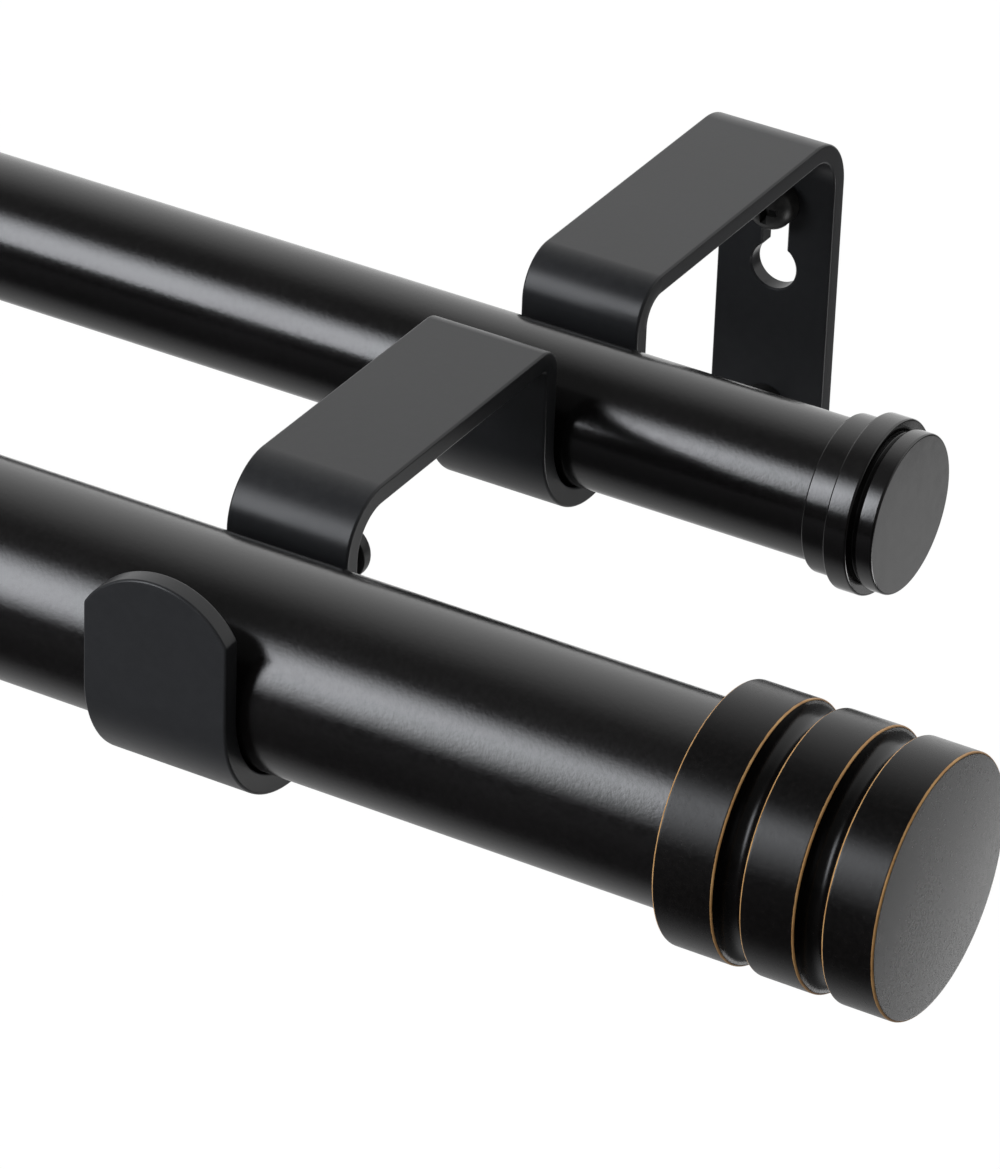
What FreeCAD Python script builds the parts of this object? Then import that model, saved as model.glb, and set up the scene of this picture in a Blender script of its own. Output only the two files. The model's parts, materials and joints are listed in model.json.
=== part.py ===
import FreeCAD, Part
import math
import os

# Double curtain pole on two bent strap brackets. Sizes are in millimetres.
# +X runs along the poles to the right, +Y points at the wall, +Z is up.
# The origin lies on the wall, midway between the brackets, level with the front pole's axis.

V = FreeCAD.Vector
ALONG = V(1, 0, 0)
TO_WALL = V(0, 1, 0)
UP = V(0, 0, 1)

# Poles: each is a wide tube with a narrower tube that slides out of its left end
front_pole_dia = 25.0
back_pole_dia = 18.0
front_wall_distance = 135.3     # wall to the front pole's axis
back_wall_distance = 64.2       # wall to the back pole's axis
back_pole_drop = 0.6            # back axis below the front axis
tube_wall = 0.8
tube_step = 1.5                 # radius lost from the wide tube to the narrow one
wide_tube_length = 680.0
narrow_tube_length = 600.0
running_gap = 0.05              # radial play of a sliding tube on its plastic rings

# Where things stand along the poles
bracket_span = 800.0            # between the two brackets' middles
front_overhang = 65.2           # bracket's middle to the front finial
back_overhang = 42.3            # bracket's middle to the back cap

# Bracket: one bent strap with a cradle for each pole
strap_thickness = 2.6
strap_width = 16.6
cradle_width = 19.2             # front cradle and tongue are wider than the arms
rear_arm_top = 11.7
front_arm_top = 14.0
back_cradle_play = 0.90         # cradle's radius over the pole's radius
front_cradle_play = 0.30
cradle_gap = 0.2                # paint and air under a pole in its cradle
wall_bend = 5.5                 # inside radii of the bends
rear_arm_bend = 3.2
riser_bend = 0.8
front_arm_bend = 5.2
plate_bottom = -36.0
plate_corner = 3.0
tongue_side_top = 10.2          # where the tongue's straight sides end
tongue_arch = 5.5               # rise of the tongue's round top
tongue_corner = 0.9
shoulder_length = 4.0           # over which the strap widens into the cradle
strap_edge = 0.35

# Keyhole and lower hole in the wall plate
keyhole_level = -0.4            # centre of the narrow end, where the screw hangs
keyhole_drop = 9.7              # narrow end down to the round end
keyhole_round_dia = 6.5
keyhole_slot_width = 3.6
lower_hole_level = -31.0
lower_hole_dia = 4.2

# Wall screws
wall_screw_dia = 3.2
wall_screw_reach = 14.0         # depth in the wall
wall_screw_tip = 4.0
screw_head_dia = 6.6
screw_head_height = 3.8
recess_width = 1.0
recess_length = 4.0
recess_depth = 1.3

# Locking screws behind the front pole
lock_screw_dia = 4.0
lock_screw_length = 12.0
lock_head_dia = 7.3
lock_head_height = 2.8
lock_hole_play = 0.05
lock_gap_tight = 0.05           # right screw, tightened on the wide tube
lock_gap_loose = 0.3            # left screw, backed off so that the pole can slide

# Front finial: a turned cylinder with three bands and two round grooves
finial_dia = 31.3
finial_inner_band = 7.6
finial_middle_band = 6.8
finial_outer_band = 6.4
finial_groove_width = 3.4
finial_groove_depth = 2.3
finial_edge = 0.3
finial_face_edge = 0.3
finial_face_wall = 3.5
finial_socket = 12.0            # length of tube inside the finial
finial_core_dia = 18.0

# Back cap: a sleeve, a ring, a narrow groove and a disc
cap_sleeve_dia = 20.0
cap_sleeve_length = 3.5
cap_ring_dia = 22.2
cap_ring_width = 3.1
cap_groove_dia = 18.9
cap_groove_width = 0.7
cap_disc_dia = 20.2
cap_disc_width = 2.3
cap_edge = 0.3
cap_socket = 5.2
cap_core_dia = 12.0
cap_face_wall = 1.8

# Plastic inserts that hold the finials and caps in the tubes
socket_play = 0.1
insert_flange = 1.5
insert_plug_length = 16.0
insert_rib_height = 0.5
insert_rib_count = 6
insert_rib_width = 1.6

# Plastic rings between the wide and narrow tubes
mouth_ring_length = 18.0
mouth_lip = 1.2
end_ring_length = 14.0
end_ring_lip = 1.0

# Worked out from the sizes above
front_radius = front_pole_dia / 2
back_radius = back_pole_dia / 2
front_y = -front_wall_distance
back_y = -back_wall_distance
back_z = -back_pole_drop
bracket_x = bracket_span / 2
half_strap = strap_thickness / 2
left_lift = tube_step           # the narrow tubes are thinner, so the left bracket is set higher


# A revolved solid about an axis along X; profile points are (x, radius)
def turned(profile, y, z):
    points = [V(x, y, z + r) for x, r in profile]
    wire = Part.makePolygon(points + [points[0]])
    return Part.Face(wire).revolve(V(0, y, z), ALONG, 360)


# A round bar along X
def bar(radius, x_start, x_end, y, z):
    return Part.makeCylinder(radius, x_end - x_start, V(x_start, y, z), ALONG)


# A tube along X
def tube(outer, inner, x_start, x_end, y, z):
    return bar(outer, x_start, x_end, y, z).cut(bar(inner, x_start, x_end, y, z))


# Mirror a right-hand piece to the left end
def to_left(shape):
    return shape.mirror(V(0, 0, 0), ALONG)


# Side profile of a strap bent along square corners, as a face in the YZ plane
def bent_profile(corners, radii, thickness):
    half = thickness / 2
    sides = {half: [], -half: []}
    last = corners[0]
    for i in range(1, len(corners) - 1):
        before = (corners[i] - corners[i - 1]).normalize()
        after = (corners[i + 1] - corners[i]).normalize()
        radius = radii[i - 1]
        begin = corners[i] - before * radius
        end = corners[i] + after * radius
        centre = begin + after * radius
        for side in sides:
            add_run(sides[side], last, begin, side)
            sides[side].append(bend_edge(centre, begin, end, side, before))
        last = end
    for side in sides:
        add_run(sides[side], last, corners[-1], side)
    first_cap = cap_edge_at(corners[0], corners[1])
    last_cap = cap_edge_at(corners[-1], corners[-2])
    edges = sides[half] + sides[-half] + [first_cap, last_cap]
    wire = Part.Wire(Part.__sortEdges__(edges))
    return Part.Face(wire)


# Direction across the strap, a quarter turn from the way it runs
def across(direction):
    return ALONG.cross(direction)


# One straight edge of the profile, left out where two bends meet
def add_run(edges, start, end, side):
    run = end - start
    if run.Length > 0.001:
        shift = across(V(run).normalize()) * side
        edges.append(Part.makeLine(start + shift, end + shift))


# One bend of the profile, on the inner or outer side
def bend_edge(centre, begin, end, side, before):
    shift = across(before) * side
    begin_arm = begin + shift - centre
    end_arm = (end - centre).normalize() * begin_arm.Length
    middle = centre + (begin_arm + end_arm).normalize() * begin_arm.Length
    return Part.Arc(centre + begin_arm, middle, centre + end_arm).toShape()


# The square cut at either end of the strap
def cap_edge_at(tip, inward):
    direction = (tip - inward).normalize()
    shift = across(direction) * half_strap
    return Part.makeLine(tip + shift, tip - shift)


# Extrude a side profile to the strap's width, centred on x = 0
def widen(face, width):
    face = face.copy()
    face.translate(V(-width / 2, 0, 0))
    return face.extrude(V(width, 0, 0))


# Arms, back cradle and wall plate, down to where the front cradle starts
def strap_arms():
    back_turn = back_radius + back_cradle_play + half_strap
    front_turn = front_radius + front_cradle_play + half_strap
    back_centre = back_z + back_cradle_play - cradle_gap
    front_centre = front_cradle_play - cradle_gap
    rear_arm = rear_arm_top - half_strap
    front_arm = front_arm_top - half_strap
    corners = [
        V(0, -half_strap, plate_bottom),
        V(0, -half_strap, rear_arm),
        V(0, back_y + back_turn, rear_arm),
        V(0, back_y + back_turn, back_centre - back_turn),
        V(0, back_y - back_turn, back_centre - back_turn),
        V(0, back_y - back_turn, front_arm),
        V(0, front_y + front_turn, front_arm),
        V(0, front_y + front_turn, front_centre),
    ]
    radii = [
        wall_bend + half_strap,
        rear_arm_bend + half_strap,
        back_turn,
        back_turn,
        riser_bend + half_strap,
        front_arm_bend + half_strap,
    ]
    return widen(bent_profile(corners, radii, strap_thickness), strap_width)


# Front cradle and tongue, wider than the arms
def strap_cradle():
    turn = front_radius + front_cradle_play + half_strap
    centre = front_cradle_play - cradle_gap
    blank_top = tongue_side_top + tongue_arch + 1
    corners = [
        V(0, front_y + turn, centre),
        V(0, front_y + turn, centre - turn),
        V(0, front_y - turn, centre - turn),
        V(0, front_y - turn, blank_top),
    ]
    cradle = widen(bent_profile(corners, [turn, turn], strap_thickness), cradle_width)
    cradle = cradle.cut(shoulder_cut(centre, 1)).cut(shoulder_cut(centre, -1))
    return cradle.cut(tongue_cut(front_y - turn)).removeSplitter()


# Wedge that narrows the cradle to the arm's width behind the pole
def shoulder_cut(level, side):
    inner = side * strap_width / 2
    outer = side * cradle_width / 2
    beyond = side * (cradle_width / 2 + 1)
    points = [
        V(inner, front_y, level),
        V(outer, front_y, level - shoulder_length),
        V(beyond, front_y, level - shoulder_length),
        V(beyond, front_y, level + 1),
        V(inner, front_y, level + 1),
    ]
    wedge = Part.Face(Part.makePolygon(points + [points[0]]))
    return wedge.extrude(V(0, front_wall_distance, 0))


# What is cut off the tongue to leave its round top
def tongue_cut(middle_y):
    half = cradle_width / 2
    y = middle_y - strap_thickness
    depth = V(0, strap_thickness * 2, 0)
    floor = tongue_side_top - strap_thickness
    left = V(-half, y, tongue_side_top)
    right = V(half, y, tongue_side_top)
    arch = Part.Arc(left, V(0, y, tongue_side_top + tongue_arch), right).toShape()
    sides = Part.makePolygon([right, V(half, y, floor), V(-half, y, floor), left])
    keep = Part.Face(Part.Wire([arch] + sides.Edges)).extrude(depth)
    keep = keep.makeFillet(tongue_corner, corner_edges(keep, tongue_side_top, half))
    low = V(-half - 1, y, floor)
    block = Part.makeBox(cradle_width + 2, depth.y, tongue_arch + strap_thickness + 2, low)
    return block.cut(keep)


# Edges along Y that stand at a given level and distance from the middle
def corner_edges(shape, level, half):
    found = []
    for edge in shape.Edges:
        centre = edge.CenterOfMass
        upright = edge.BoundBox.YLength > strap_thickness
        if upright and abs(centre.z - level) < 0.01 and abs(abs(centre.x) - half) < 0.01:
            found.append(edge)
    return found


# Keyhole for hanging the bracket, and the round hole below it
def plate_holes():
    start = V(0, -strap_thickness * 2, 0)
    depth = strap_thickness * 3
    slot_radius = keyhole_slot_width / 2
    round_level = keyhole_level - keyhole_drop
    narrow = Part.makeCylinder(slot_radius, depth, start + UP * keyhole_level, TO_WALL)
    wide = Part.makeCylinder(keyhole_round_dia / 2, depth, start + UP * round_level, TO_WALL)
    slot_low = start + V(-slot_radius, 0, round_level)
    slot = Part.makeBox(keyhole_slot_width, depth, keyhole_drop, slot_low)
    lower = Part.makeCylinder(lower_hole_dia / 2, depth, start + UP * lower_hole_level, TO_WALL)
    return narrow.fuse([wide, slot]).removeSplitter().fuse(lower)


# Tapped hole for the locking screw, level with the front pole's axis
def lock_hole():
    radius = lock_screw_dia / 2 + lock_hole_play
    start = V(0, front_y + front_radius, 0)
    return Part.makeCylinder(radius, strap_thickness * 2, start, TO_WALL)


# Ease the strap's outline, apart from the place where arms and cradle become one
def eased(strap, joint_level, joint_depth):
    outline = []
    for edge in strap.Edges:
        box = edge.BoundBox
        bend_line = box.XLength > strap_width - 0.01 and box.YLength + box.ZLength < 0.01
        through_strap = abs(edge.Length - strap_thickness) < 0.01 and box.XLength < 0.01
        near_joint = box.ZMin > joint_level - joint_depth - 0.01 and box.ZMax < joint_level + 0.01
        at_joint = near_joint and edge.CenterOfMass.y > front_y
        if not (bend_line or through_strap or at_joint):
            outline.append(edge)
    return strap.makeFillet(strap_edge, outline)


# Round the two lower corners of the wall plate
def plate_rounded(strap):
    corners = []
    for edge in strap.Edges:
        low = abs(edge.CenterOfMass.z - plate_bottom) < 0.01
        across_plate = abs(edge.BoundBox.YLength - strap_thickness) < 0.01
        if low and across_plate and abs(edge.CenterOfMass.x) > strap_width / 4:
            corners.append(edge)
    return strap.makeFillet(plate_corner, corners)


# One bracket, centred on x = 0 with its back on the wall
def bracket():
    joint = front_cradle_play - cradle_gap
    arms = eased(plate_rounded(strap_arms()), joint, 0)
    cradle = eased(strap_cradle(), joint, shoulder_length)
    strap = arms.fuse(cradle).removeSplitter()
    strap = strap.cut(plate_holes())
    return strap.cut(lock_hole())


# A cross recess sunk in a screw head; the head's top faces -Y
def cross_recess(top_y, level):
    wide = Part.makeBox(recess_length, recess_depth, recess_width)
    tall = Part.makeBox(recess_width, recess_depth, recess_length)
    wide.translate(V(-recess_length / 2, top_y, level - recess_width / 2))
    tall.translate(V(-recess_width / 2, top_y, level - recess_length / 2))
    return wide.fuse(tall)


# A domed pan head, lying with its flat side at y and its top at y - height
def pan_head(diameter, height, y, level):
    radius = diameter / 2
    rim = height * 0.45
    flat = V(0, y, level)
    outer = V(0, y, level + radius)
    shoulder = V(0, y - rim, level + radius)
    crown = V(0, y - height, level)
    knee = V(0, y - height * 0.9, level + radius * 0.6)
    edges = [
        Part.makeLine(flat, outer),
        Part.makeLine(outer, shoulder),
        Part.Arc(shoulder, knee, V(0, y - height, level + radius * 0.25)).toShape(),
        Part.makeLine(V(0, y - height, level + radius * 0.25), crown),
        Part.makeLine(crown, flat),
    ]
    return Part.Face(Part.Wire(edges)).revolve(flat, TO_WALL, 360)


# One wall screw: pan head in front of the plate, shank and point in the wall
def wall_screw(level):
    seat = -strap_thickness
    radius = wall_screw_dia / 2
    shank_end = wall_screw_reach - wall_screw_tip
    head = pan_head(screw_head_dia, screw_head_height, seat, level)
    shank = Part.makeCylinder(radius, shank_end - seat, V(0, seat, level), TO_WALL)
    point = Part.makeCone(radius, radius / 8, wall_screw_tip, V(0, shank_end, level), TO_WALL)
    screw = head.fuse([shank, point]).removeSplitter()
    return screw.cut(cross_recess(seat - screw_head_height, level))


# One locking screw through the front drop, pointing at the front pole
def lock_screw(pole_radius, gap):
    radius = lock_screw_dia / 2
    tip = front_y + pole_radius + gap
    under_head = tip + lock_screw_length
    shank = Part.makeCylinder(radius, lock_screw_length, V(0, tip, 0), TO_WALL)
    shank = shank.makeChamfer(radius / 4, [shank.Edges[2]])
    head = pan_head(lock_head_dia, lock_head_height, 0, 0)
    head.rotate(V(0, 0, 0), UP, 180)
    head.translate(V(0, under_head, 0))
    recess = cross_recess(0, 0)
    recess.translate(V(0, under_head + lock_head_height - recess_depth, 0))
    return head.fuse(shank).removeSplitter().cut(recess)


# Outline of the finial's barrel from its inner end to its face
def finial_profile(start):
    radius = finial_dia / 2
    bands = [finial_inner_band, finial_middle_band, finial_outer_band]
    points = [(start, 0.0)]
    x = start
    for i, band in enumerate(bands):
        far_edge = finial_face_edge if i == len(bands) - 1 else finial_edge
        points += [(x, radius - finial_edge), (x + finial_edge, radius)]
        points += [(x + band - far_edge, radius), (x + band, radius - far_edge)]
        if i < len(bands) - 1:
            points += groove_points(x + band, radius - finial_edge)
        x += band + finial_groove_width
    points.append((x - finial_groove_width, 0.0))
    return points


# Points round one U-shaped groove, without its two rims
def groove_points(start, rim):
    middle = start + finial_groove_width / 2
    half = finial_groove_width / 2
    depth = finial_groove_depth - finial_edge
    steps = 12
    points = []
    for i in range(1, steps):
        angle = math.pi * i / steps
        points.append((middle - half * math.cos(angle), rim - depth * math.sin(angle)))
    return points


# Front finial for the right end
def front_finial():
    start = bracket_x + front_overhang
    length = finial_inner_band + finial_middle_band + finial_outer_band + 2 * finial_groove_width
    body = turned(finial_profile(start), front_y, 0)
    socket_end = start + finial_socket + insert_flange
    socket = bar(front_radius + socket_play, start - 1, socket_end, front_y, 0)
    core = bar(finial_core_dia / 2, start, start + length - finial_face_wall, front_y, 0)
    return body.cut(socket).cut(core)


# Outline of the back cap, stepped and grooved
def cap_profile(start):
    ring = start + cap_sleeve_length
    groove = ring + cap_ring_width
    disc = groove + cap_groove_width
    face = disc + cap_disc_width
    edge = cap_edge
    return [
        (start, 0.0),
        (start, cap_sleeve_dia / 2 - edge),
        (start + edge, cap_sleeve_dia / 2),
        (ring, cap_sleeve_dia / 2),
        (ring, cap_ring_dia / 2 - edge),
        (ring + edge, cap_ring_dia / 2),
        (groove - edge, cap_ring_dia / 2),
        (groove, cap_ring_dia / 2 - edge),
        (groove, cap_groove_dia / 2),
        (disc, cap_groove_dia / 2),
        (disc, cap_disc_dia / 2 - edge),
        (disc + edge, cap_disc_dia / 2),
        (face - edge, cap_disc_dia / 2),
        (face, cap_disc_dia / 2 - edge),
        (face, 0.0),
    ]


# Back cap for the right end
def back_cap():
    start = bracket_x + back_overhang
    length = cap_sleeve_length + cap_ring_width + cap_groove_width + cap_disc_width
    body = turned(cap_profile(start), back_y, back_z)
    socket_end = start + cap_socket + insert_flange
    socket = bar(back_radius + socket_play, start - 1, socket_end, back_y, back_z)
    core = bar(cap_core_dia / 2, start, start + length - cap_face_wall, back_y, back_z)
    return body.cut(socket).cut(core)


# Plastic insert: ribbed plug in the tube, flange at its end and a spigot in the finial's core
def insert(tube_radius, socket_radius, tube_end, core_dia, core_end, y, z):
    bore = tube_radius - tube_wall
    plug = bar(bore - insert_rib_height, tube_end - insert_plug_length, tube_end, y, z)
    flange = bar(socket_radius, tube_end, tube_end + insert_flange, y, z)
    spigot = bar(core_dia / 2, tube_end, core_end, y, z)
    ribs = []
    for i in range(insert_rib_count):
        rib = Part.makeBox(insert_plug_length, insert_rib_width, bore - insert_rib_height / 2)
        rib.translate(V(tube_end - insert_plug_length, y - insert_rib_width / 2, z))
        rib.rotate(V(0, y, z), ALONG, 360 * i / insert_rib_count)
        ribs.append(rib)
    ribs = ribs[0].fuse(ribs[1:]).common(bar(bore, tube_end - insert_plug_length, tube_end, y, z))
    return plug.fuse([flange, spigot, ribs]).removeSplitter()


# Adapter round a narrow tube's end, so that it fills the same socket
def adapter(tube_radius, socket_radius, length, tube_end, y, z):
    return tube(socket_radius, tube_radius, tube_end - length, tube_end, y, z)


# The wide tube of a pole, from its mouth to its end in the finial
def wide_tube(radius, x_end, y, z):
    return tube(radius, radius - tube_wall, x_end - wide_tube_length, x_end, y, z)


# The narrow tube of a pole, drawn as a right-hand piece and mirrored later
def narrow_tube(radius, x_end, y, z):
    outer = radius - tube_step
    return tube(outer, outer - tube_wall, x_end - narrow_tube_length, x_end, y, z)


# Plastic ring in the wide tube's mouth, which guides the narrow tube
def mouth_ring(radius, x_end, y, z):
    mouth = x_end - wide_tube_length
    bore = radius - tube_step + running_gap
    body = tube(radius - tube_wall, bore, mouth, mouth + mouth_ring_length, y, z)
    lip = tube(radius, bore, mouth - mouth_lip, mouth, y, z)
    return body.fuse(lip).removeSplitter()


# Plastic ring round the narrow tube's inner end, which runs in the wide tube
def end_ring(radius, x_end, y, z):
    inner_end = x_end - narrow_tube_length
    outer = radius - tube_wall - running_gap
    narrow = radius - tube_step
    body = tube(outer, narrow, inner_end, inner_end + end_ring_length, y, z)
    lip = tube(outer, narrow - tube_wall, inner_end - end_ring_lip, inner_end, y, z)
    return body.fuse(lip).removeSplitter()


# All pieces of one pole; names start with front or back
def pole_pieces(name, radius, y, z, overhang, socket, core_dia, core_end, finial, finial_name):
    tube_end = bracket_x + overhang + socket
    socket_radius = radius + socket_play
    narrow = radius - tube_step
    right_insert = insert(radius, socket_radius, tube_end, core_dia, core_end, y, z)
    left_insert = insert(narrow, socket_radius, tube_end, core_dia, core_end, y, z)
    left_insert = left_insert.fuse(adapter(narrow, socket_radius, socket, tube_end, y, z)).removeSplitter()
    return {
        name + "_wide_tube": wide_tube(radius, tube_end, y, z),
        name + "_mouth_ring": mouth_ring(radius, tube_end, y, z),
        name + "_narrow_tube": to_left(narrow_tube(radius, tube_end, y, z)),
        name + "_end_ring": to_left(end_ring(radius, tube_end, y, z)),
        finial_name + "_right": finial,
        finial_name + "_left": to_left(finial),
        name + "_insert_right": right_insert,
        name + "_insert_left": to_left(left_insert),
    }


# The front pole with its finials
def front_pole():
    length = finial_inner_band + finial_middle_band + finial_outer_band + 2 * finial_groove_width
    core_end = bracket_x + front_overhang + length - finial_face_wall
    return pole_pieces("front", front_radius, front_y, 0, front_overhang, finial_socket,
                       finial_core_dia, core_end, front_finial(), "front_finial")


# The back pole with its caps
def back_pole():
    length = cap_sleeve_length + cap_ring_width + cap_groove_width + cap_disc_width
    core_end = bracket_x + back_overhang + length - cap_face_wall
    return pole_pieces("back", back_radius, back_y, back_z, back_overhang, cap_socket,
                       cap_core_dia, core_end, back_cap(), "back_cap")


# One bracket with its screws, set at a place along the wall
def bracket_set(side, x, lift, pole_radius, gap):
    lower = wall_screw(lower_hole_level)
    pieces = {
        "bracket_" + side: bracket(),
        "wall_screw_upper_" + side: wall_screw(keyhole_level),
        "wall_screw_lower_" + side: lower,
        "lock_screw_" + side: lock_screw(pole_radius, gap),
    }
    for shape in pieces.values():
        shape.translate(V(x, 0, lift))
    return pieces


def main():
    os.makedirs("parts", exist_ok=True)
    pieces = {}
    pieces.update(front_pole())
    pieces.update(back_pole())
    pieces.update(bracket_set("right", bracket_x, 0, front_radius, lock_gap_tight))
    narrow_radius = front_radius - tube_step
    pieces.update(bracket_set("left", -bracket_x, left_lift, narrow_radius, lock_gap_loose))
    for name, shape in pieces.items():
        shape.exportStep(os.path.join("parts", name + ".step"))
        print(name, shape.isValid(), len(shape.Solids), round(shape.Volume, 1))


if __name__ == "__main__":
    main()
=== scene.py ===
import json
import math

import bmesh
import bpy
from bpy.props import FloatProperty, FloatVectorProperty, IntProperty, PointerProperty
from mathutils import Matrix, Quaternion, Vector


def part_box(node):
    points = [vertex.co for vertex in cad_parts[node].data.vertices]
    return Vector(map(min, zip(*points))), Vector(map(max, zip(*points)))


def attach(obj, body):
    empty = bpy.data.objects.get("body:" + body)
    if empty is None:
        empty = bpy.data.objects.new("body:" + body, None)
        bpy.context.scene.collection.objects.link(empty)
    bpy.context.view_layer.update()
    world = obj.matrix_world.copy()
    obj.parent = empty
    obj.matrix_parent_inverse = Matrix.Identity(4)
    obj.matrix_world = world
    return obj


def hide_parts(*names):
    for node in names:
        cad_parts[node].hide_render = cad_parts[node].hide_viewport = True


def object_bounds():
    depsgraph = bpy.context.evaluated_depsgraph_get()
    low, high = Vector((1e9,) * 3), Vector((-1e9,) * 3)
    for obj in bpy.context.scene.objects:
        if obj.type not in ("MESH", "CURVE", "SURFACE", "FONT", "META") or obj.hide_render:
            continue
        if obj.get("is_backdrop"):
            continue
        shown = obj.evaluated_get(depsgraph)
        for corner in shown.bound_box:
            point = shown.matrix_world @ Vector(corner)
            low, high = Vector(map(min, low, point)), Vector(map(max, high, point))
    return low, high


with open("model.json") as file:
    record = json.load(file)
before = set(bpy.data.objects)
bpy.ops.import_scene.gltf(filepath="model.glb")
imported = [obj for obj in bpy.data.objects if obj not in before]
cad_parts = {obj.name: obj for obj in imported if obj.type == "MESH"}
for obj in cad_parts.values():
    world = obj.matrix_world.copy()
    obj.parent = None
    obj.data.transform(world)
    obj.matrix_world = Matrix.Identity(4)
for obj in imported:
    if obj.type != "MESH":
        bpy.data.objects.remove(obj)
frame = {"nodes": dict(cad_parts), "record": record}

bl_info = {
    "name": "Double Curtain Pole",
    "version": (1, 0, 0),
    "blender": (4, 5, 0),
    "location": "3D View > Sidebar > Curtain Pole",
    "description": "Looks of a double curtain pole on two bent strap brackets",
    "category": "Object",
}

MM = 0.001
X, Z = 0, 2
SIDES = {"right": 1, "left": -1}
SHARP_DEGREES = 32
FEW_FACES = 10              # a cut that leaves fewer has failed
TINY = 1e-7                 # a radius or run below this counts as none
RING_PLAY = 0.05 * MM       # round a narrow tube in its mouth ring
FINE_EDGE = 0.1 * MM        # small roundings of turned edges
RIM_EDGE = 0.12 * MM
SOFT_EDGE = 0.15 * MM
PLUG_EDGE = 0.2 * MM
LIP_EDGE = 0.35 * MM
BODY_OF = {
    node: body
    for body, nodes in frame["record"]["behaviour"]["bodies"].items()
    for node in nodes
}


def axis_of(node):
    """The y and z of a turned node's axis."""
    low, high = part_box(node)
    return (low.y + high.y) / 2, (low.z + high.z) / 2


def width_of(node, axis):
    """A node's extent along one axis."""
    low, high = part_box(node)
    return high[axis] - low[axis]


def radius_of(node):
    """Outer radius of a turned node."""
    return width_of(node, Z) / 2


def length(name, millimetres, about):
    """A size that the user can change, in metres."""
    return FloatProperty(
        name=name, description=about, default=millimetres * MM, precision=5, unit="LENGTH"
    )


def tint(name, colour, about):
    """A colour that the user can change."""
    return FloatVectorProperty(
        name=name, description=about, default=colour, size=3, min=0, max=1, subtype="COLOR"
    )


def angle_setting(name, degrees, about):
    """An angle that the user can change."""
    return FloatProperty(
        name=name, description=about, default=math.radians(degrees), subtype="ANGLE"
    )


def power_setting(name, watts, about):
    """A lamp's power that the user can change."""
    return FloatProperty(name=name, description=about, default=watts, unit="POWER")


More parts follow.
